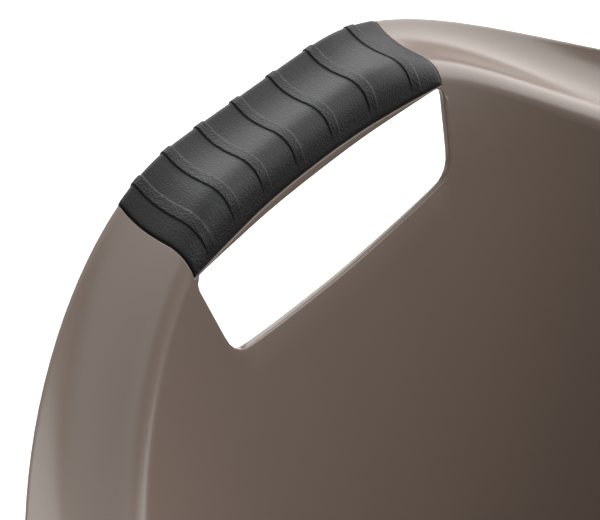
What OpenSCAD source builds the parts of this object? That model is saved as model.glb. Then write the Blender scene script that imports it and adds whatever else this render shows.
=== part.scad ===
// Laundry tub with raised ends, a broad rim and a soft grip over each hand hole.
// Origin: middle of the foot ring, on the surface the tub stands on. X runs along the tub.

/* [Tub plan] */
// Length of the rim between its inner shoulders
rim_length = 600; // [480:10:760]
// Width of the rim between its inner shoulders
rim_width = 412; // [330:10:520]
// Length of the floor, where the wall's line meets it
floor_length = 460; // [370:10:560]
// Width of the floor, where the wall's line meets it
floor_width = 324; // [260:10:390]
// Squareness of the outlines: 2 is an oval, more is squarer
squareness = 2.6; // [2.2:0.1:3.4]

/* [Tub height] */
// Height of the rim's shoulder at the middle of an end
shoulder_height = 290; // [240:5:350]
// How far the shoulder drops from an end to a long side
shoulder_drop = 86; // [60:2:105]
// Half length of the level stretch of shoulder at an end
shoulder_level = 35; // [25:5:50]
// Distance across the tub over which the shoulder drops
shoulder_run = 160; // [130:5:195]

/* [Rim] */
// Height of the lip over the shoulder at the middle of an end
lip_rise = 9; // [6:1:14]
// How far the lip drops from an end to a long side
lip_drop = 80; // [56:2:98]
// Half length of the level stretch of lip at an end
lip_level = 28; // [20:4:44]
// Distance across the tub over which the lip drops
lip_run = 175; // [145:5:210]
// Width of the rim at the middle of an end, from shoulder to lip
rim_band_end = 22; // [18:1:27]
// Width of the rim along a long side, from shoulder to lip
rim_band_side = 32; // [26:1:39]
// Distance across the tub over which the rim widens
widening_run = 185; // [150:5:220]
// Length of the rounding over the shoulder, each side of its corner
shoulder_round = 7; // [5.5:0.5:9]
// Length of the rounding over the lip, each side of its corner
lip_round = 2; // [1.5:0.5:4]
// Depth of the skirt that hangs from the lip
skirt_depth = 18; // [14:1:24]
// Outward slope of the skirt, in degrees
skirt_draft = 4; // [1:1:8]

/* [Walls] */
// Thickness of the wall and rim
wall = 2.4; // [2:0.1:3]
// Thickness of the floor
floor_thickness = 2.8; // [2.2:0.2:3.6]
// Size of the rounded corner between floor and wall
floor_corner = 26; // [20:1:34]
// Height of the foot ring under the floor
foot_height = 3; // [2:0.5:4]
// Width of the foot ring's flat face
foot_width = 7; // [5:1:10]
// Distance of the foot ring in from the floor's outline
foot_inset = 34; // [30:1:44]

/* [Hand hole] */
// Height of the strip of wall between the grip's inner edge and the hand hole, at the middle
hole_land = 2.6; // [2.6:0.1:5]
// Height of the hand hole
hole_height = 32.7; // [26:0.1:38]
// Distance from the grip's ends to the hand hole's ends
hole_end_land = 0.8; // [0.8:0.1:10]
// How much each end of the hand hole leans in from its top edge to its bottom edge
hole_taper = 4; // [2:0.5:8]
// Corner radius of the hand hole
hole_corner = 10; // [6:1:12]

/* [Grip] */
// Length of the grip along the shoulder
grip_length = 128; // [104:1:140]
// Thickness of the grip where it lies in its recess
grip_seat = 1.6; // [1.3:0.1:1.9]
// How far the grip stands proud of the rim round it
grip_proud = 0.4; // [0.2:0.1:0.8]
// Depth of the grip's inner edge under the shoulder, at the middle
grip_edge_depth = 13; // [11:0.2:15]
// How much lower the grip's inner edge lies at its ends than at its middle
grip_edge_arch = 2.4; // [1:0.2:2.4]
// How far the grip's outer edge stops short of the skirt's lower edge
grip_skirt_stop = 3; // [2:0.5:5]
// Number of ribs across the grip
rib_count = 7; // [3:2:7]
// Distance from the grip's front end to the middle of the first rib
rib_first = 10; // [8:0.5:20]
// Distance from the middle of the last rib to the grip's other end
rib_last = 12; // [8:0.5:20]
// How much closer together the first ribs stand than the last ones, as a share
rib_crowding = 0.18; // [0:0.01:0.4]
// Width of a rib
rib_width = 4; // [3:0.5:5]
// Height of a rib over the grip
rib_height = 0.5; // [0.3:0.1:0.8]
// Width of the slope at each side of a rib
rib_slope = 0.5; // [0.3:0.1:1]
// Clearance between the grip and its recess
grip_gap = 0.05; // [0.02:0.01:0.1]

/* [Hidden] */

tub_colour = "#8a7e76";
grip_colour = "#303032";

stations = 80;
station_angle = 360 / stations;
grip_station = 8;
floor_top = foot_height + floor_thickness;
// The rim's band leaves the shoulder almost level and turns up towards the lip.
band_bend_out = 0.72;
band_bend_up = 0.1;
// The layer under a grip's recess keeps the rim's thickness. It runs on past the grip's ends,
// down past the hand hole's top edge, and almost to the skirt's lower edge.
backing_margin = 3;
backing_depth = 8;
backing_stop = 1;
// The cutter for a recess stands this far clear of the rim's surface.
cut_clear = 2;
corner_sides = 24;
// Rounds of correction that bring a point to its y to within a hundredth of a millimetre.
across_turns = 3;
// The grip's inner edge always lies this far below the start of the shoulder's round.
edge_clear = 0.5;
// Depth on the wall where the rim's section starts, below the grip's inner edge.
below_grip = grip_edge_depth + grip_edge_arch + 2;

// ---------- curves ----------

function smooth_step(t) = let (u = min(1, max(0, t))) u * u * (3 - 2 * u);
function blend(a, b, t) = a + (b - a) * t;
function unit(v) = v / norm(v);
function curve_point(a, b, c, t) = (1 - t) * (1 - t) * a + 2 * t * (1 - t) * b + t * t * c;
function curve(a, b, c, steps, first = 0) =
    [for (i = [first : steps]) curve_point(a, b, c, i / steps)];

// Left hand normal of the way from one 2D point to the next.
function way_normal(a, b) = let (d = unit(b - a)) [-d.y, d.x];
// Open line of 2D points moved sideways by a distance, with its corners kept sharp.
function moved(line, distance) =
    [for (i = [0 : len(line) - 1])
        let (
            before = way_normal(line[max(i - 1, 0)], line[max(i, 1)]),
            after = way_normal(line[min(i, len(line) - 2)], line[min(i + 1, len(line) - 1)])
        )
        line[i] + distance * (before + after) / (1 + before * after)];

// ---------- plan ----------

// Point of the outline of half size 1 in the direction of an angle.
function outline_unit(angle) =
    let (c = pow(abs(cos(angle)), squareness), s = pow(abs(sin(angle)), squareness))
    pow(c + s, -1 / squareness) * [cos(angle), sin(angle)];

// Point of the same outline at a distance y from the tub's middle line, on the +X end.
function outline_unit_at(y) =
    let (v = 2 * y / rim_width)
    [pow(1 - pow(abs(v), squareness), 1 / squareness), v];

function rim_point(u) = [u.x * rim_length / 2, u.y * rim_width / 2];
function floor_point(u) = [u.x * floor_length / 2, u.y * floor_width / 2];
function slope_part(v) = sign(v) * pow(abs(v), squareness - 1);
function rim_normal(u) = unit([slope_part(u.x) / rim_length, slope_part(u.y) / rim_width]);

function shoulder_z(y) =
    shoulder_height - shoulder_drop * smooth_step((abs(y) - shoulder_level) / shoulder_run);
function lip_z(y) =
    shoulder_height + lip_rise - lip_drop * smooth_step((abs(y) - lip_level) / lip_run);
function band_width(y) = blend(rim_band_end, rim_band_side, smooth_step(abs(y) / widening_run));

// ---------- section across the rim ----------
// Points are [outwards, up] from the shoulder's corner.

// Slope of the wall: how far it leans out for each millimetre of height.
function wall_lean(u) =
    (rim_point(u) - floor_point(u)) * rim_normal(u) / (shoulder_z(rim_point(u).y) - floor_top);
function wall_at(u, depth) = [-depth * wall_lean(u), -depth];

function lip_corner(u) =
    let (y = rim_point(u).y) [band_width(y), lip_z(y) - shoulder_z(y)];
function skirt_end(u) = lip_corner(u) + skirt_depth * [sin(skirt_draft), -cos(skirt_draft)];

// Corners of the rim's upper face, from a depth on the wall to a distance short of the skirt's end.
function face_corners(u, depth, stop) =
    let (lip = lip_corner(u), end = skirt_end(u))
    [wall_at(u, depth), [0, 0], [band_bend_out * lip.x, band_bend_up * lip.y], lip,
     end + stop * unit(lip - end)];

// Corners of the rim's under face, which passes straight under the lip.
function back_corners(u, depth, stop) =
    let (lip = lip_corner(u), end = skirt_end(u), drop = (1 - band_bend_up / band_bend_out) * lip.y)
    [wall_at(u, depth), [0, 0], lip + drop / skirt_depth * (end - lip), end + stop * unit(lip - end)];

function toward(a, b, distance) = a + distance * unit(b - a);

// Rounded lines through those corners, each with the same number of points.
function face_line(corners) =
    let (
        shoulder = corners[1],
        bend = corners[2],
        lip = corners[3],
        band_start = toward(shoulder, bend, shoulder_round),
        band_end = toward(lip, bend, min(lip_round, norm(lip - bend) / 2))
    )
    concat(
        [corners[0]],
        curve(toward(shoulder, corners[0], shoulder_round), shoulder, band_start, 3),
        curve(band_start, bend, band_end, 3, 1),
        curve(band_end, lip, toward(lip, corners[4], lip_round), 2, 1),
        [corners[4]]
    );
function back_line(corners) =
    let (
        shoulder = corners[1],
        corner = corners[2],
        band_start = toward(shoulder, corner, shoulder_round),
        band_end = toward(corner, shoulder, lip_round),
        third = (band_end - band_start) / 3
    )
    concat(
        [corners[0]],
        curve(toward(shoulder, corners[0], shoulder_round), shoulder, band_start, 3),
        [band_start + third, band_start + 2 * third],
        curve(band_end, corner, toward(corner, corners[3], lip_round), 2),
        [corners[3]]
    );

function place(u, p) =
    let (r = rim_point(u), n = rim_normal(u), z = shoulder_z(r.y))
    [r.x + n.x * p.x, r.y + n.y * p.x, z + p.y];

// ---------- the tub's shell ----------

// Corner between floor and wall at one station: a side of 0 is the inner face, 1 the outer one.
function corner_line(u, side) =
    let (
        n = rim_normal(u),
        out = side * wall,
        low = side == 0 ? floor_top : foot_height,
        foot = floor_point(u) + out * n,
        in = foot * (1 - floor_corner / norm(foot)),
        top = rim_point(u) + out * n,
        height = shoulder_z(rim_point(u).y) - low,
        up = foot + (top - foot) * floor_corner / height
    )
    curve([in.x, in.y, low], [foot.x, foot.y, low], [up.x, up.y, low + floor_corner], 4);

function foot_line(u) =
    let (
        foot = floor_point(u),
        d = unit(foot),
        outer = norm(foot) - foot_inset,
        slope = foot_height / 2
    )
    [for (p = [[outer + slope, foot_height], [outer, 0], [outer - foot_width, 0],
               [outer - foot_width - slope, foot_height]])
        [d.x * p.x, d.y * p.x, p.y]];

function reversed(list) = [for (i = [len(list) - 1 : -1 : 0]) list[i]];

function shell_section(u) =
    let (
        face = face_line(face_corners(u, below_grip, 0)),
        back = back_line(moved(back_corners(u, below_grip, 0), -wall))
    )
    concat(
        corner_line(u, 0),
        [for (p = face) place(u, p)],
        [for (p = reversed(back)) place(u, p)],
        reversed(corner_line(u, 1)),
        foot_line(u)
    );

module tub_shell() {
    rings = [for (i = [0 : stations - 1]) shell_section(outline_unit(i * station_angle))];
    count = len(rings[0]);
    points = concat(
        [for (ring = rings) each ring],
        [[0, 0, floor_top], [0, 0, foot_height]]
    );
    inner_pole = stations * count;
    outer_pole = inner_pole + 1;
    faces = [
        for (i = [0 : stations - 1])
            let (a = i * count, b = ((i + 1) % stations) * count)
            each concat(
                [[inner_pole, b, a], [outer_pole, a + count - 1, b + count - 1]],
                [for (k = [0 : count - 2]) each [[a + k, b + k, a + k + 1], [b + k, b + k + 1, a + k + 1]]]
            )
    ];
    polyhedron(points = points, faces = faces);
}

// ---------- layers that lie over the rim at an end ----------

// The grip's inner edge is an arch on the wall, and its depth is measured from the shoulder.
function edge_z(y) = shoulder_height - grip_edge_depth - grip_edge_arch * pow(2 * y / grip_length, 2);
function edge_depth(y) = max(shoulder_round + edge_clear, shoulder_z(y) - edge_z(y));

// Rounded line across the rim at one station, moved out by a distance: over the rim's upper face,
// or along its under face. more is how far it runs on down the wall past the grip's inner edge.
function upper_line(u, distance, more, stop) =
    face_line(moved(face_corners(u, edge_depth(rim_point(u).y) + more, stop), distance));
function under_line(u, distance, more, stop) =
    back_line(moved(back_corners(u, edge_depth(rim_point(u).y) + more, stop), distance));

// A closed layer between two grids of points: rows run along the shoulder, columns across the rim.
module rim_layer(upper, lower) {
    rows = len(upper);
    count = len(upper[0]);
    points = concat([for (row = upper) each row], [for (row = lower) each row]);
    base = rows * count;
    end = (rows - 1) * count;
    sheet = [
        for (i = [0 : rows - 2], k = [0 : count - 2])
            let (a = i * count + k, b = a + count)
            each [[a, b, a + 1], [b, b + 1, a + 1],
                  [base + a, base + a + 1, base + b], [base + b, base + a + 1, base + b + 1]]
    ];
    sides = [
        for (i = [0 : rows - 2])
            let (a = i * count, b = a + count, c = a + count - 1, d = b + count - 1)
            each [[a, base + a, b], [b, base + a, base + b],
                  [c, d, base + c], [d, base + d, base + c]]
    ];
    caps = [
        for (k = [0 : count - 2])
            let (a = k, b = end + k)
            each [[a, a + 1, base + a], [a + 1, base + a + 1, base + a],
                  [b, base + b, b + 1], [b + 1, base + b, base + b + 1]]
    ];
    polyhedron(points = points, faces = concat(sheet, sides, caps));
}

function even_places(half) =
    let (steps = ceil(2 * half / grip_station))
    [for (i = [0 : steps]) -half + 2 * half * i / steps];
function level(places, distance) = [for (y = places) distance];

// One grid of a layer's points, at the places along the shoulder.
function upper_grid(places, heights, more, stop) =
    [for (i = [0 : len(places) - 1])
        let (u = outline_unit_at(places[i]))
        [for (p = upper_line(u, heights[i], more, stop)) place(u, p)]];
function under_grid(places, distance, more, stop) =
    [for (y = places)
        let (u = outline_unit_at(y))
        [for (p = under_line(u, distance, more, stop)) place(u, p)]];

// The grip's ends and ribs run straight across the rim, square to the tub's width. So past the
// shoulder, each point k of a line is taken where the rim's rounded line reaches the same y.
function across_station(y, k, s, distance, more, stop, turns) =
    let (u = outline_unit_at(s), p = upper_line(u, distance, more, stop)[k])
    turns == 0 || p.x < 0 ? s
    : across_station(y, k, s - (place(u, p).y - y), distance, more, stop, turns - 1);
function across_grid(places, heights, more, stop) =
    [for (i = [0 : len(places) - 1])
        let (count = len(upper_line(outline_unit_at(places[i]), heights[i], more, stop)))
        [for (k = [0 : count - 1])
            let (s = across_station(places[i], k, places[i], heights[i], more, stop, across_turns))
            let (u = outline_unit_at(s))
            place(u, upper_line(u, heights[i], more, stop)[k])]];

module grip_backing() {
    places = even_places(grip_length / 2 + backing_margin);
    rim_layer(
        upper_grid(places, level(places, -grip_seat / 2), backing_depth, backing_stop),
        under_grid(places, -grip_seat - wall, backing_depth, backing_stop)
    );
}

module grip_recess() {
    places = even_places(grip_length / 2);
    rim_layer(
        across_grid(places, level(places, cut_clear), 0, grip_skirt_stop),
        across_grid(places, level(places, -grip_seat), 0, grip_skirt_stop)
    );
}

// ---------- hand hole ----------

hole_top = shoulder_height - grip_edge_depth - hole_land;
hole_low = hole_top - hole_height;
hole_top_width = grip_length - 2 * hole_end_land;
hole_bottom_width = hole_top_width - 2 * hole_taper;
hole_top_corner = 3;
hole_corners = [
    [hole_bottom_width / 2 - hole_corner, hole_low + hole_corner, hole_corner],
    [hole_top_width / 2 - hole_top_corner, hole_top - hole_top_corner, hole_top_corner],
    [hole_top_corner - hole_top_width / 2, hole_top - hole_top_corner, hole_top_corner],
    [hole_corner - hole_bottom_width / 2, hole_low + hole_corner, hole_corner]
];

// Each side of the hole is the hull of its two corners and the hole's middle.
module hole_outline() {
    for (i = [0 : 3]) {
        hull() {
            for (c = [hole_corners[i], hole_corners[(i + 1) % 4]])
                translate([c.x, c.y]) circle(r = c.z, $fn = corner_sides);
            translate([0, (hole_top + hole_low) / 2]) circle(r = hole_top_corner, $fn = corner_sides);
        }
    }
}

module hand_hole() {
    inside = floor_length / 2;
    outside = rim_length / 2 + rim_band_end;
    translate([inside, 0, 0])
        rotate([90, 0, 90])
            linear_extrude(outside - inside)
                hole_outline();
}

// ---------- sub-parts ----------

module both_ends() {
    children();
    mirror([1, 0, 0]) children();
}

module tub() {
    color(tub_colour)
        difference() {
            union() {
                tub_shell();
                both_ends() grip_backing();
            }
            both_ends() grip_recess();
            both_ends() hand_hole();
        }
}

grip_half = grip_length / 2 - grip_gap;
rib_half = rib_width / 2;
rib_reach = rib_half + rib_slope;

// Middle of a rib along the grip. The ribs stand closer together towards the first one.
function rib_middle(i) =
    let (t = i / (rib_count - 1))
    blend(rib_first - grip_length / 2, grip_length / 2 - rib_last, t - rib_crowding * t * (1 - t));
function space_end(i) = i < rib_count - 1 ? rib_middle(i + 1) - rib_reach : grip_half;

// Stations along the grip, at the edges of each rib and halfway to the next one.
rib_places = [for (i = [0 : rib_count - 1])
    let (m = rib_middle(i))
    each [m - rib_reach, m - rib_half, m + rib_half, m + rib_reach, (m + rib_reach + space_end(i)) / 2]];
rib_heights = [for (i = [0 : rib_count - 1])
    each [grip_proud, grip_proud + rib_height, grip_proud + rib_height, grip_proud, grip_proud]];

module grip() {
    stop = grip_skirt_stop + grip_gap;
    places = concat([-grip_half, (rib_places[0] - grip_half) / 2], rib_places, [grip_half]);
    heights = concat([grip_proud, grip_proud], rib_heights, [grip_proud]);
    color(grip_colour)
        rim_layer(
            across_grid(places, heights, -grip_gap, stop),
            across_grid(places, level(places, -grip_seat + grip_gap), -grip_gap, stop)
        );
}

module grip_left() {
    mirror([1, 0, 0]) grip();
}

module grip_right() {
    grip();
}

tub();
grip_left();
grip_right();
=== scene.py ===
import math

import bpy
import numpy as np
from mathutils import Matrix, Vector


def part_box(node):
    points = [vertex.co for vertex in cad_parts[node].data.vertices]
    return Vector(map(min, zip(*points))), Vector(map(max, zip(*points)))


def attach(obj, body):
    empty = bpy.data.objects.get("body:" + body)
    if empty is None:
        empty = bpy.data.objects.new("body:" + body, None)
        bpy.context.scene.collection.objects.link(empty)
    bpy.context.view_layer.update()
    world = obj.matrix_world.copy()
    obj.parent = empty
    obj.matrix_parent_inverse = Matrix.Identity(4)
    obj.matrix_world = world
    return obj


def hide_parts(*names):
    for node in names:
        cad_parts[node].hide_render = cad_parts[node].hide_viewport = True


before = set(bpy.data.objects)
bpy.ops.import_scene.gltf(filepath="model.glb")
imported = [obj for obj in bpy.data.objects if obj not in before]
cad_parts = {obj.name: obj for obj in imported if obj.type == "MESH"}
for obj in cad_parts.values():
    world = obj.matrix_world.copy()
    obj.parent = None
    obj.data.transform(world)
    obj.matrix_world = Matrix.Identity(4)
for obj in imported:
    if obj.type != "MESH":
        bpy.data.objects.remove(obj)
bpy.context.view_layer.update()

bpy.ops.object.select_all(action="DESELECT")

# ---------------------------------------------------------------------------------------------
# The tub: one injection moulding in glossy taupe polypropylene. Its wall leans out to a rim that
# rises at both ends, and turns over a rounded shoulder into a broad band, an upturned lip and a
# skirt. Each end has a hand hole through the wall, and a seat for the soft grip.

MM = 0.001
tub_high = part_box("tub")[1]
squareness = 2.6
shoulder_height = 290 * MM
shoulder_drop = 86 * MM
shoulder_level = 35 * MM
shoulder_run = 160 * MM
lip_rise = 7 * MM
lip_drop = 78 * MM
lip_level = 34 * MM
lip_run = 169 * MM
band_end = 22 * MM
band_side = 32 * MM
widening_run = 185 * MM
skirt_depth = 18 * MM
skirt_draft = math.radians(4)
skirt_reach = skirt_depth * math.sin(skirt_draft)
rim_half = np.array([tub_high[0] - band_end - skirt_reach, tub_high[1] - band_side - skirt_reach])
floor_half = rim_half - np.array([70, 44]) * MM
shoulder_round = 7 * MM
lip_round = 2.6 * MM
band_bend = np.array([0.72, 0.1])
wall = 2.4 * MM
floor_thickness = 2.8 * MM
floor_corner = 26 * MM
foot_height = 3 * MM
foot_inset = 34 * MM
foot_width = 7 * MM
floor_top = foot_height + floor_thickness

grip_half = 64 * MM
grip_seat = 1.6 * MM
grip_edge_z = shoulder_height - 13 * MM
grip_edge_arch = 2.4 * MM
edge_least = 7.5 * MM
edge_soft = 0.3 * MM
grip_stop = 3 * MM
seat_step = 0.08 * MM
seat_lead = 0.1 * MM
arch_stop = 1.1
across_full = 70 * MM
across_fade = 50 * MM
back_round = 5 * MM
back_depth = 8.3 * MM

hole_top = grip_edge_z - 2.6 * MM
hole_low = hole_top - 34.4 * MM
hole_half_top = 63.2 * MM
hole_half_low = 59.2 * MM
hole_top_corner = 3 * MM
hole_low_corner = 10 * MM
hole_bow = 4 * MM
hole_bevel = 0.35 * MM
hole_level = 62.5 * MM


def smooth_step(t):
    t = np.clip(t, 0, 1)
    return t * t * (3 - 2 * t)


def shoulder_z(y):
    return shoulder_height - shoulder_drop * smooth_step((abs(y) - shoulder_level) / shoulder_run)


def lip_z(y):
    return shoulder_height + lip_rise - lip_drop * smooth_step((abs(y) - lip_level) / lip_run)


def band_width(y):
    return band_end + (band_side - band_end) * smooth_step(abs(y) / widening_run)


def edge_depth(y):
    """Depth of the grip's arched inner edge under the shoulder, never in the shoulder's round."""
    arch = grip_edge_arch * np.minimum(abs(y) / grip_half, arch_stop) ** 2
    return np.maximum(edge_least, shoulder_z(y) - grip_edge_z + arch)


def outline(angle):
    """Points of the outline of half size 1, in the direction of each angle."""
    c, s = np.cos(angle), np.sin(angle)
    reach = (abs(c) ** squareness + abs(s) ** squareness) ** (-1 / squareness)
    return np.stack([reach * c, reach * s], axis=-1)


def outline_at(y):
    """Points of the same outline on the +X end, at each distance y from the middle line."""
    v = y / rim_half[1]
    return np.stack([(1 - abs(v) ** squareness) ** (1 / squareness), v], axis=-1)


def outward(u):
    """Level direction square to the rim at each outline point."""
    slope = np.sign(u) * abs(u) ** (squareness - 1) / rim_half
    return slope / np.linalg.norm(slope, axis=-1, keepdims=True)


def with_height(flat, z):
    return np.concatenate([flat, np.broadcast_to(z, flat.shape[:-1])[..., None]], axis=-1)


def wall_point(u, z, out=0.0):
    """Point of the wall's inner face at height z, moved out square to the rim."""
    share = ((z - floor_top) / (shoulder_z(u[..., 1] * rim_half[1]) - floor_top))[..., None]
    flat = u * (floor_half + (rim_half - floor_half) * share) + outward(u) * out
    return with_height(flat, z)


def curve(a, b, c, t):
    return (1 - t) ** 2 * a + 2 * t * (1 - t) * b + t * t * c


def toward(a, b, distance):
    """Point at a distance from a on the way to b, at every station."""
    way = b - a
    length = np.linalg.norm(way, axis=-1, keepdims=True)
    return a + way / length * distance


def rim_corners(u):
    """Shoulder, bend, lip and skirt end of the rim's upper face at each outline point."""
    y = u[..., 1] * rim_half[1]
    n = outward(u)
    shoulder = with_height(u * rim_half, shoulder_z(y))
    width, rise = band_width(y)[..., None], (lip_z(y) - shoulder_z(y))[..., None]
    up = np.array([0, 0, 1.0])
    n3 = with_height(n, 0.0)
    bend = shoulder + n3 * width * band_bend[0] + up * rise * band_bend[1]
    lip = shoulder + n3 * width + up * rise
    end = lip + n3 * skirt_reach - up * skirt_depth * math.cos(skirt_draft)
    return shoulder, bend, lip, end, n3, up, rise


def rim_rows(u, skirt_stops):
    """Rows of the rim's upper face, from the shoulder's start to the last stop on its skirt."""
    shoulder, bend, lip, end, n3, up, rise = rim_corners(u)
    start = wall_point(u, shoulder[..., 2] - shoulder_round)
    band_start = toward(shoulder, bend, shoulder_round)
    band_stop = toward(lip, bend, lip_round)
    skirt_start = toward(lip, end, lip_round)
    rows = [curve(start, shoulder, band_start, t) for t in np.linspace(0, 1, 8)]
    rows += [curve(band_start, bend, band_stop, t) for t in np.linspace(0, 1, 8)[1:]]
    rows += [curve(band_stop, lip, skirt_start, t) for t in np.linspace(0, 1, 7)[1:]]
    rows += [toward(end, lip, stop) for stop in skirt_stops]
    return rows


def surface_normals(grid):
    """Normals of a grid of points, rows first: rows run along the rim, columns across it."""
    across = np.gradient(grid, axis=0)
    along = np.gradient(grid, axis=1)
    n = np.cross(across, along)
    return n / np.maximum(np.linalg.norm(n, axis=-1, keepdims=True), 1e-12)


# Stations round the rim: wide apart along the sides, and close together at the ends of the hand
# hole and of the grip's seat, whose step lies between two of them.
hole_stations = np.array([0, 4.4, 8.8, 13.2, 17.6, 22, 26.4, 30.8, 35.2, 39.6, 44, 48, 50.5, 52.5, 54.5,
                          56.3, 58, 59.4, 60.6, 61.6, 62.4, 62.9, 63.2, 63.5]) * MM
step_stations = grip_half + np.array([-0.12, 0.12, 0.42, 1.6, 3.4, 6, 9.4, 13.4]) * MM
side_stations = 64
end_y = np.concatenate([hole_stations, step_stations])
end_u = outline_at(end_y)
end_angle = np.arctan2(end_u[:, 1], end_u[:, 0])
side_angle = np.linspace(end_angle[-1], math.pi / 2, side_stations)[1:]
quarter = np.concatenate([end_angle, side_angle])
half = np.concatenate([quarter, math.pi - quarter[-2::-1]])
angles = np.concatenate([half, half[1:-1] + math.pi])
angles = np.append(angles, 2 * math.pi)
u = outline(angles)
u[-1] = u[0]
station_y = u[:, 1] * rim_half[1]
station_count = len(angles) - 1

# Rows of the wall, as shares of the hand hole's height and of the wall below it.
hole_rows = np.array([0, 1.2, 2.6, 4.2, 6.2, 8.6, 11.6, 15, 19, 23, 26.4, 28.6, 29.9, 30.9, 31.6, 32]) / 32
low_rows = 1 - np.linspace(0, 1, 15)[::-1] ** 1.6


def corner_rows(u, out, low):
    """Rows of the floor and its corner, from the middle out, on the inner or outer face."""
    foot = with_height(u * floor_half + outward(u) * out, low)
    middle = np.array([0, 0, low])
    start = toward(foot, middle, floor_corner)
    top = wall_point(u, np.full(len(u), low + floor_corner), out)
    rows = [middle + (start - middle) * share for share in (0, 0.3, 0.6, 0.85)]
    return rows + [curve(start, foot, top, t) for t in np.linspace(0, 1, 8)]


def hole_low_z(y):
    """Height of the hand hole's bottom row, which follows the shoulder past the hole's ends."""
    return hole_low + shoulder_z(y) - shoulder_z(np.clip(abs(y), 0, hole_level))


def inner_wall_rows(u):
    """Rows of the inside, from the middle of the floor to the hand hole's top edge."""
    low = hole_low_z(u[:, 1] * rim_half[1])
    start_z = floor_top + floor_corner
    rows = corner_rows(u, 0, floor_top)
    rows += [wall_point(u, start_z + (low - start_z) * share) for share in low_rows[1:-1]]
    rows += [wall_point(u, low + (hole_top - hole_low) * share) for share in hole_rows]
    return rows


def seat_rows(u):
    """Rows of the rim's upper face, from the grip's inner edge to its outer edge."""
    y = u[:, 1] * rim_half[1]
    z, edge = shoulder_z(y), edge_depth(y)
    rows = [wall_point(u, z - edge + seat_step), wall_point(u, z - (edge + shoulder_round) / 2)]
    return rows + rim_rows(u, [12 * MM, 9 * MM, 6 * MM, grip_stop + seat_lead])


def edge_rows(u):
    """Rows just under the grip's inner edge."""
    y = u[:, 1] * rim_half[1]
    return [wall_point(u, shoulder_z(y) - edge_depth(y) - below) for below in (edge_soft, seat_step)]


def under_rows(u):
    """Rows of the skirt's lower edge and the rim's under face, which runs straight under the lip."""
    y = u[:, 1] * rim_half[1]
    shoulder, bend, lip, end, n3, up, rise = rim_corners(u)
    rows = [toward(end, lip, stop)
            for stop in (grip_stop - seat_lead, grip_stop - seat_lead - edge_soft, wall / 2)]
    down = end - toward(end, lip, 1.0)
    into = np.cross(np.cross(n3, down), down)
    into /= np.linalg.norm(into, axis=-1, keepdims=True)
    into *= -np.sign(np.sum(into * n3, axis=-1, keepdims=True))
    centre = toward(end, lip, wall / 2) + into * wall / 2
    rows += [centre - into * wall / 2 * math.cos(t) + down * wall / 2 * math.sin(t)
             for t in np.linspace(0, math.pi, 6)[1:-1]]
    back_shoulder = with_height(u * rim_half + outward(u) * wall, shoulder_z(y) - wall)
    back_corner = lip + into * wall - up * (rise * (1 - band_bend[1] / band_bend[0]) + wall)
    back_end = end + into * wall
    rows += [toward(back_end, back_corner, wall / 2), (back_end + back_corner) / 2]
    band_start = toward(back_corner, back_shoulder, back_round)
    band_stop = toward(back_shoulder, back_corner, shoulder_round - wall)
    rows += [curve(toward(back_corner, back_end, back_round), back_corner, band_start, t)
             for t in np.linspace(0, 1, 5)]
    rows += [band_start + (band_stop - band_start) * share for share in (0.33, 0.67)]
    wall_side = wall_point(u, shoulder_z(y) - back_depth, wall)
    return rows + [curve(band_stop, back_shoulder, wall_side, t) for t in np.linspace(0, 1, 6)]


# The foot ring's outer side, as the distance in from its edge and the height.
foot_side = [(-2.2 * MM, foot_height), (-1.1 * MM, 2.6 * MM), (-0.4 * MM, 0.8 * MM), (0, 0.25 * MM),
             (0.6 * MM, 0)]


def outer_wall_rows(u):
    """Rows of the outside, from the hand hole's top edge to the middle of the floor."""
    low = hole_low_z(u[:, 1] * rim_half[1])
    start_z = foot_height + floor_corner
    rows = [wall_point(u, low + (hole_top - hole_low) * share, wall) for share in hole_rows[::-1]]
    rows += [wall_point(u, start_z + (low - start_z) * share, wall) for share in low_rows[-2:0:-1]]
    rows += corner_rows(u, wall, foot_height)[:3:-1]
    foot = u * floor_half
    reach = np.linalg.norm(foot, axis=-1, keepdims=True)
    for inset, z in foot_side + [(foot_width / 2, 0)] + [(foot_width - i, z) for i, z in foot_side[::-1]]:
        rows.append(with_height(foot / reach * (reach - foot_inset - inset), z))
    return rows + [with_height(foot * share, foot_height) for share in (0.6, 0.3, 0)]


def run_across(make, u):
    """The rows of make, moved along the rim at its ends so that past the shoulder each station
    runs straight across, square to the tub's width."""
    home = u[:, 1] * rim_half[1]
    near = 1 - smooth_step((abs(home) - across_full) / across_fade)
    ends = np.stack([np.sign(u[:, 0]), np.ones(len(u))], axis=-1)
    limit = across_full + across_fade
    made = make(u)
    for row in range(len(made)):
        past = abs(made[row][:, 1]) > abs(home)
        s = np.clip(home, -limit, limit)
        for _ in range(4):
            y = np.array(make(outline_at(s) * ends)[row])[:, 1]
            s = s - np.where(past & (near > 0), y - np.clip(home, -limit, limit), 0)
        moved = outline_at(np.clip(home + near * (s - home), -limit, limit)) * ends
        made[row] = np.array(make(np.where(near[:, None] > 0, moved, u)))[row]
    return made


inner_rows = inner_wall_rows(u)
inner_low = len(inner_rows) - len(hole_rows)
inner_top = len(inner_rows) - 1
flush_rows = inner_rows + edge_rows(u)
sunk_rows = run_across(seat_rows, u)
outer_rows = outer_wall_rows(u)
turned_rows = run_across(under_rows, u)
grid = np.array(flush_rows + sunk_rows + turned_rows + outer_rows)
row_count = len(grid)
outer_top = row_count - len(outer_rows)
outer_low = outer_top + len(hole_rows) - 1
at_an_end = abs(u[:, 0]) > 0.5
in_grip = (abs(station_y) < grip_half) & at_an_end
depth = np.zeros(grid.shape[:2])
depth[len(flush_rows):len(flush_rows) + len(sunk_rows), in_grip] = grip_seat
grid -= surface_normals(grid) * depth[..., None]


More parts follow.
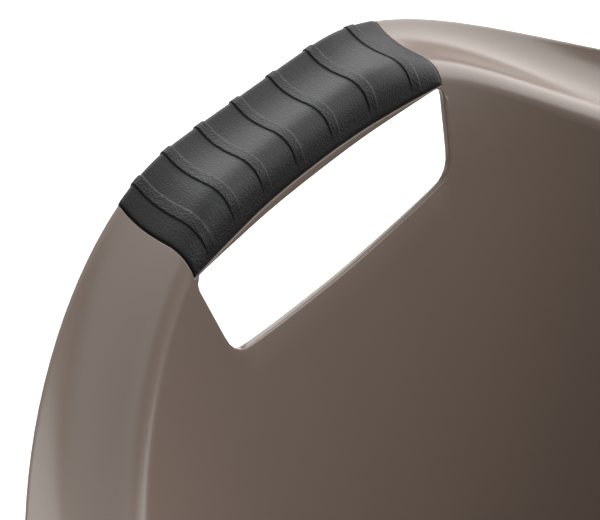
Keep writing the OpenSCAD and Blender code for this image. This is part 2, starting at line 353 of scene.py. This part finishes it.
# The hand hole's outline goes round a row of circles along its bowed bottom edge and one circle
# in each top corner. Its reach is how far it goes from its middle, facing each way round.
hole_middle = np.array([0, (hole_top + hole_low) / 2])
low_reach = hole_half_low - hole_low_corner
hole_rounds = [(low_reach * t, hole_low + hole_low_corner + hole_bow * t * t, hole_low_corner)
               for t in np.linspace(-1, 1, 25)]
hole_rounds += [(side * (hole_half_top - hole_top_corner), hole_top - hole_top_corner, hole_top_corner)
                for side in (1, -1)]
facing_count = 2880
facing_angle = np.linspace(0, 2 * math.pi, facing_count)
facing = np.stack([np.cos(facing_angle), np.sin(facing_angle)], axis=-1)
hole_reach = np.max([facing @ (np.array([cy, cz]) - hole_middle) + r for cy, cz, r in hole_rounds], axis=0)


def hole_edge(y, z):
    """Point of the hand hole's rounded outline on the line from its middle through a point."""
    way = np.array([y, z]) - hole_middle
    share = facing @ way
    seen = share > 1e-9
    return hole_middle + way * np.min(hole_reach[seen] / share[seen])


def y_on_rim(y, z):
    """The rim's y for the point of the wall that lies at y and height z."""
    s = y
    for _ in range(8):
        share = (z - floor_top) / (shoulder_z(s) - floor_top)
        s = y * rim_half[1] / (floor_half[1] + (rim_half[1] - floor_half[1]) * share)
    return s


# The hand hole's cells are left out of both faces of the wall. Its corners are rounded, and the
# cells round it are eased into place, so that the glossy wall stays smooth.
hole_side = int(np.argmin(abs(station_y[:len(quarter)] - hole_half_top)))
eased_stations = hole_side + 11
eased_rows = 7
easing_rounds = 200
columns = np.arange(-eased_stations, eased_stations + 1)
window_low, window_high = inner_low - eased_rows, inner_top + 1
flat_y = np.zeros((window_high - window_low + 1, len(columns)))
flat_z = np.zeros_like(flat_y)
for j, row in enumerate(range(window_low, window_high + 1)):
    flat_y[j] = station_y[columns]
    flat_z[j] = grid[row, columns, 2]
fixed = np.ones(flat_y.shape, dtype=bool)
fixed[1:-1, 1:-1] = False
for j, share in enumerate(hole_rows, eased_rows):
    half_here = hole_half_low + (hole_half_top - hole_half_low) * share
    z_here = hole_low + (hole_top - hole_low) * share
    for i, column in enumerate(columns):
        if abs(column) > hole_side:
            continue
        y_here = station_y[column] / hole_half_top * half_here
        y_edge, z_edge = y_here, z_here
        if abs(column) == hole_side or share in (0, 1):
            y_edge, z_edge = hole_edge(y_here, z_here)
        flat_y[j, i] = y_on_rim(y_edge, z_edge)
        flat_z[j, i] = z_edge
        fixed[j, i] = True
for _ in range(easing_rounds):
    for flat in (flat_y, flat_z):
        eased = flat.copy()
        eased[1:-1, 1:-1] = (flat[:-2, 1:-1] + flat[2:, 1:-1] + flat[1:-1, :-2] + flat[1:-1, 2:]) / 4
        flat[~fixed] = eased[~fixed]
for end_station in (0, station_count // 2):
    way = 1 if end_station == 0 else -1
    for j in range(1, flat_y.shape[0] - 1):
        row_u = outline_at(flat_y[j])
        inner = wall_point(row_u, flat_z[j])
        outer = wall_point(row_u, flat_z[j], wall)
        where = (end_station + way * columns) % station_count
        for face, row in ((inner, window_low + j), (outer, outer_low + inner_low - window_low - j)):
            grid[row, where] = face * np.array([way, 1, 1])
grid[:, station_count] = grid[:, 0]

bpy.ops.mesh.primitive_grid_add(x_subdivisions=station_count, y_subdivisions=row_count - 1, size=1)
tub = bpy.context.object
tub.name = "tub_moulding"
tub.data.name = "tub_moulding"
tub.data.vertices.foreach_set("co", grid.reshape(-1))
tub.data.update()


def hole_cells(first, last):
    """Cells of the grid inside the hand holes, between two rows."""
    cells = set()
    for row in range(first, last):
        for i in range(-hole_side, hole_side):
            cells.add(row * station_count + i % station_count)
            cells.add(row * station_count + i + station_count // 2)
    return cells


def choose(piece, kind, wanted):
    """Selects only the wanted edges or faces of a piece, and leaves it in edit mode."""
    bpy.ops.object.mode_set(mode="EDIT")
    bpy.ops.mesh.select_mode(type=kind)
    bpy.ops.mesh.select_all(action="DESELECT")
    bpy.ops.object.mode_set(mode="OBJECT")
    for part in piece.data.polygons if kind == "FACE" else piece.data.edges:
        part.select = part.index in wanted
    bpy.ops.object.mode_set(mode="EDIT")


choose(tub, "FACE", hole_cells(inner_low, inner_top) | hole_cells(outer_top, outer_low))
bpy.ops.mesh.delete(type="FACE")
bpy.ops.mesh.select_mode(type="VERT")
bpy.ops.mesh.select_all(action="SELECT")
bpy.ops.mesh.remove_doubles(threshold=0.01 * MM)
for way in (1, -1):
    bpy.ops.object.mode_set(mode="OBJECT")
    uses = {}
    for polygon in tub.data.polygons:
        for key in polygon.edge_keys:
            uses[key] = uses.get(key, 0) + 1
    open_edges = {e.index for e in tub.data.edges
                  if uses.get(e.key, 0) == 1 and tub.data.vertices[e.vertices[0]].co.x * way > 0}
    choose(tub, "EDGE", open_edges)
    bpy.ops.mesh.bridge_edge_loops()
    choose(tub, "EDGE", open_edges)
    bpy.ops.mesh.bevel(offset=hole_bevel, segments=3)
bpy.ops.mesh.select_all(action="SELECT")
bpy.ops.mesh.normals_make_consistent(inside=False)
bpy.ops.object.mode_set(mode="OBJECT")
# On a thin closed shell the faces can all come out inwards, and then its volume is negative.
if sum(face.center.dot(face.normal) * face.area for face in tub.data.polygons) < 0:
    tub.data.flip_normals()
bpy.ops.object.shade_smooth()


def apply_modifier(piece, kind, **settings):
    """Adds a modifier with its settings and applies it."""
    modifier = piece.modifiers.new(kind.lower(), kind)
    for name, value in settings.items():
        setattr(modifier, name, value)
    bpy.context.view_layer.objects.active = piece
    bpy.ops.object.modifier_apply(modifier=modifier.name)


def linear(colour):
    """An sRGB hex colour as linear red, green, blue and alpha."""
    parts = [int(colour[i:i + 2], 16) / 255 for i in (1, 3, 5)]
    return [p / 12.92 if p <= 0.04045 else ((p + 0.055) / 1.055) ** 2.4 for p in parts] + [1.0]


def add_node(material, kind, settings=None, **links):
    """Adds a node, sets its properties and input values, and links its inputs."""
    node = material.node_tree.nodes.new(kind)
    for name, value in (settings or {}).items():
        if hasattr(node, name):
            setattr(node, name, value)
        else:
            node.inputs[name].default_value = value
    for name, source in links.items():
        material.node_tree.links.new(source, node.inputs[name.replace("_", " ")])
    return node


def new_material(name):
    material = bpy.data.materials.new(name)
    material.use_nodes = True
    material.node_tree.nodes.clear()
    return material


# Injection-moulded polypropylene, taupe, from a polished mould: an even colour, a clear gloss
# with soft reflections, and the faint waviness that thin moulded walls have.
wave_length = 14 * MM
wave_depth = 0.1 * MM
glossy_polypropylene = new_material("glossy_polypropylene")
coordinates = add_node(glossy_polypropylene, "ShaderNodeTexCoord")
waviness = add_node(glossy_polypropylene, "ShaderNodeTexNoise", {"Scale": 1 / wave_length, "Detail": 1.0},
                    Vector=coordinates.outputs["Object"])
ripple = add_node(glossy_polypropylene, "ShaderNodeBump", {"Strength": 0.3, "Distance": wave_depth},
                  Height=waviness.outputs["Fac"])
gloss = add_node(glossy_polypropylene, "ShaderNodeMapRange", {"To Min": 0.22, "To Max": 0.28},
                 Value=waviness.outputs["Fac"])
surface = add_node(glossy_polypropylene, "ShaderNodeBsdfPrincipled",
                   {"Base Color": linear("#786a61"), "IOR": 1.49},
                   Roughness=gloss.outputs["Result"], Normal=ripple.outputs["Normal"])
output = add_node(glossy_polypropylene, "ShaderNodeOutputMaterial")
glossy_polypropylene.node_tree.links.new(surface.outputs["BSDF"], output.inputs["Surface"])

tub.data.materials.append(glossy_polypropylene)
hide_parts("tub")
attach(tub, "root")

# ---------------------------------------------------------------------------------------------
# The soft grips: black thermoplastic elastomer moulded over the rim at each hand hole, matt and
# finely grained, with seven raised ribs across it that fade out on the wall side.

grip_proud = 0.4 * MM
grip_gap = 0.2 * MM
grip_skin = 1 * MM
grip_tuck = 0.12 * MM
end_lead = 0.7 * MM
end_turn = 0.25 * MM
rib_half = 2 * MM
rib_height = 0.45 * MM
rib_slope = 0.12 * MM
rib_count = 7
rib_first = 10 * MM
rib_last = 12 * MM
rib_crowding = 0.18

rib_share = np.linspace(0, 1, rib_count)
rib_share = rib_share - rib_crowding * rib_share * (1 - rib_share)
rib_middles = (rib_first - grip_half) + (2 * grip_half - rib_first - rib_last) * rib_share
rib_offsets = np.array([-rib_half - 2 * rib_slope, -rib_half - rib_slope, -rib_half + rib_slope,
                        -rib_half + 3 * rib_slope, 0, rib_half - 3 * rib_slope, rib_half - rib_slope,
                        rib_half + rib_slope, rib_half + 2 * rib_slope])
grip_end = grip_half - grip_gap
grip_y = [m + o for m in rib_middles for o in rib_offsets]
for a, b in zip(rib_middles[:-1] + rib_offsets[-1], rib_middles[1:] + rib_offsets[0]):
    grip_y += list(np.linspace(a, b, 6)[1:-1])
for side, outside in ((-1, -rib_middles[0] - rib_offsets[0]), (1, rib_middles[-1] + rib_offsets[-1])):
    grip_y += [side * v for v in np.linspace(outside, grip_end - end_lead, 5)[1:]]
    grip_y += [side * (grip_end - end_turn), side * grip_end]
grip_y = np.array(sorted(grip_y))
grip_u = outline_at(grip_y)


def grip_upper_rows(u):
    """Rows of the grip's face, from its inner edge over the rim to its outer edge."""
    y = u[:, 1] * rim_half[1]
    edge = edge_depth(y) - grip_tuck
    low = shoulder_z(y) - edge
    rows = [wall_point(u, low + rise * MM) for rise in (0, 0.2, 0.6, 0.9, 1.15)]
    rows += [wall_point(u, low + (edge - shoulder_round - edge_soft) * share) for share in (0.6, 0.85)]
    last_stops = [grip_stop + rise * MM for rise in (0.9, 0.4, 0.2)]
    return rows + rim_rows(u, [12 * MM, 9 * MM, 6 * MM] + last_stops)


# The grip's face stands proud of the rim. Its edges dip into the seat all round, and its ribs fade
# in from the inner edge to halfway over the shoulder.
base = np.array(run_across(grip_upper_rows, grip_u))
edge_dip = -0.5 * MM
fade_start = 4
fade_rows = 7
lift = np.full(base.shape[:2], grip_proud)
lift[:4] = np.array([[edge_dip], [0.1 * MM], [0.22 * MM], [0.24 * MM]])
lift[-2:] = np.array([[0.1 * MM], [edge_dip]])
for column, value in ((0, edge_dip), (1, 0.15 * MM), (-1, edge_dip), (-2, 0.15 * MM)):
    lift[:, column] = np.minimum(lift[:, column], value)
rib = np.zeros(base.shape[:2])
for middle in rib_middles:
    rib[:, abs(grip_y - middle) < rib_half] = 1.0
rib *= smooth_step((np.arange(len(base)) - fade_start) / fade_rows)[:, None]
base += surface_normals(base) * (lift + rib * rib_height)[..., None]

grips = []
for name, way in (("grip_right", 1), ("grip_left", -1)):
    bpy.ops.mesh.primitive_grid_add(x_subdivisions=len(grip_y) - 1, y_subdivisions=len(base) - 1, size=1)
    grip = bpy.context.object
    grip.name = "soft_" + name
    grip.data.name = "soft_" + name
    grip.data.vertices.foreach_set("co", (base * np.array([way, 1, 1])).reshape(-1))
    mask = grip.data.attributes.new("rib", "FLOAT", "POINT")
    mask.data.foreach_set("value", rib.reshape(-1))
    grip.data.update()
    bpy.ops.object.mode_set(mode="EDIT")
    bpy.ops.mesh.select_all(action="SELECT")
    bpy.ops.mesh.normals_make_consistent(inside=False)
    bpy.ops.object.mode_set(mode="OBJECT")
    faces_up = sum(p.normal.z * p.area for p in grip.data.polygons) > 0
    if not faces_up:
        grip.data.flip_normals()
    apply_modifier(grip, "SOLIDIFY", thickness=grip_skin, offset=-1)
    apply_modifier(grip, "SUBSURF", levels=1, render_levels=1)
    bpy.ops.object.shade_smooth()
    grips.append((grip, name))

# Black thermoplastic elastomer, matt from a spark-eroded mould: a fine grain that scatters the
# light, deeper on the ribs, and a dull grey sheen where the light grazes it. The real grain is
# finer than can be seen from here, so it is drawn 0.6 mm wide.
grain_width = 0.6 * MM
grain_depth = 0.4 * MM
matt_elastomer = new_material("matt_elastomer")
coordinates = add_node(matt_elastomer, "ShaderNodeTexCoord")
on_rib = add_node(matt_elastomer, "ShaderNodeAttribute", {"attribute_name": "rib"})
grain = add_node(matt_elastomer, "ShaderNodeTexNoise", {"Scale": 1 / grain_width, "Detail": 2.0},
                 Vector=coordinates.outputs["Object"])
grain_strength = add_node(matt_elastomer, "ShaderNodeMapRange", {"To Min": 0.4, "To Max": 0.75},
                          Value=on_rib.outputs["Fac"])
grain_bump = add_node(matt_elastomer, "ShaderNodeBump", {"Distance": grain_depth},
                      Strength=grain_strength.outputs["Result"], Height=grain.outputs["Fac"])
matt = add_node(matt_elastomer, "ShaderNodeMapRange", {"To Min": 0.36, "To Max": 0.5},
                Value=grain.outputs["Fac"])
surface = add_node(matt_elastomer, "ShaderNodeBsdfPrincipled",
                   {"Base Color": linear("#0d0e11"), "IOR": 1.5, "Specular IOR Level": 0.25},
                   Roughness=matt.outputs["Result"], Normal=grain_bump.outputs["Normal"])
output = add_node(matt_elastomer, "ShaderNodeOutputMaterial")
matt_elastomer.node_tree.links.new(surface.outputs["BSDF"], output.inputs["Surface"])
for grip, name in grips:
    grip.data.materials.append(matt_elastomer)
    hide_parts(name)
    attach(grip, "root")

# ---------------------------------------------------------------------------------------------
# The studio: a plain white floor, dim white surroundings, and soft boxes behind the tub, above it
# and to its left.

bpy.ops.mesh.primitive_plane_add(size=12, location=(0, 0, 0))
floor = bpy.context.object
floor.name = "studio_floor"
# A studio's white floor: painted, dull and even.
white_floor = new_material("white_floor")
surface = add_node(white_floor, "ShaderNodeBsdfPrincipled",
                   {"Base Color": linear("#f8f8f8"), "Roughness": 0.9})
output = add_node(white_floor, "ShaderNodeOutputMaterial")
white_floor.node_tree.links.new(surface.outputs["BSDF"], output.inputs["Surface"])
floor.data.materials.append(white_floor)

world = bpy.data.worlds.new("studio")
bpy.context.scene.world = world
world.use_nodes = True
world.node_tree.nodes["Background"].inputs["Color"].default_value = (1, 1, 1, 1)
world.node_tree.nodes["Background"].inputs["Strength"].default_value = 0.22


def add_light(name, place, target, size, power):
    """Adds a soft box of a width, height and power at a place, turned to a target."""
    bpy.ops.object.light_add(type="AREA", location=place)
    light = bpy.context.object
    light.name = name
    light.data.shape = "RECTANGLE"
    light.data.size, light.data.size_y = size
    light.data.energy = power
    light.rotation_euler = (Vector(target) - Vector(place)).to_track_quat("-Z", "Y").to_euler()


raised_end = (-0.25, 0, 0.25)
add_light("soft_box_behind_right", (0.5, 2.0, 1.1), raised_end, (2.6, 2.0), 56)
add_light("soft_box_behind", (-1.35, 1.3, 1.45), raised_end, (2.0, 1.5), 44)
add_light("soft_box_above", (-0.2, 0.3, 2.2), raised_end, (2.8, 2.8), 30)
add_light("soft_box_left", (-2.0, -0.9, 1.2), raised_end, (1.2, 1.0), 6)

# The camera looks down over the -Y side into the tub, at the raised end with the left grip.
camera_place = (0.03726, -0.40297, 0.60760)
turn, drop, roll = math.radians(40.454), math.radians(34.929), math.radians(-5.357)
forward = Vector((-math.sin(turn) * math.cos(drop), math.cos(turn) * math.cos(drop), -math.sin(drop)))
right = Vector((math.cos(turn), math.sin(turn), 0))
above = right.cross(forward)
image_right = math.cos(roll) * right + math.sin(roll) * above
image_up = -math.sin(roll) * right + math.cos(roll) * above
bpy.ops.object.camera_add(location=camera_place)
camera = bpy.context.object
camera.rotation_euler = Matrix((image_right, image_up, -forward)).transposed().to_euler()
camera.data.lens = 120
camera.data.sensor_width = 36
camera.data.clip_start = 0.01
bpy.context.scene.camera = camera
bpy.context.scene.view_settings.view_transform = "Standard"
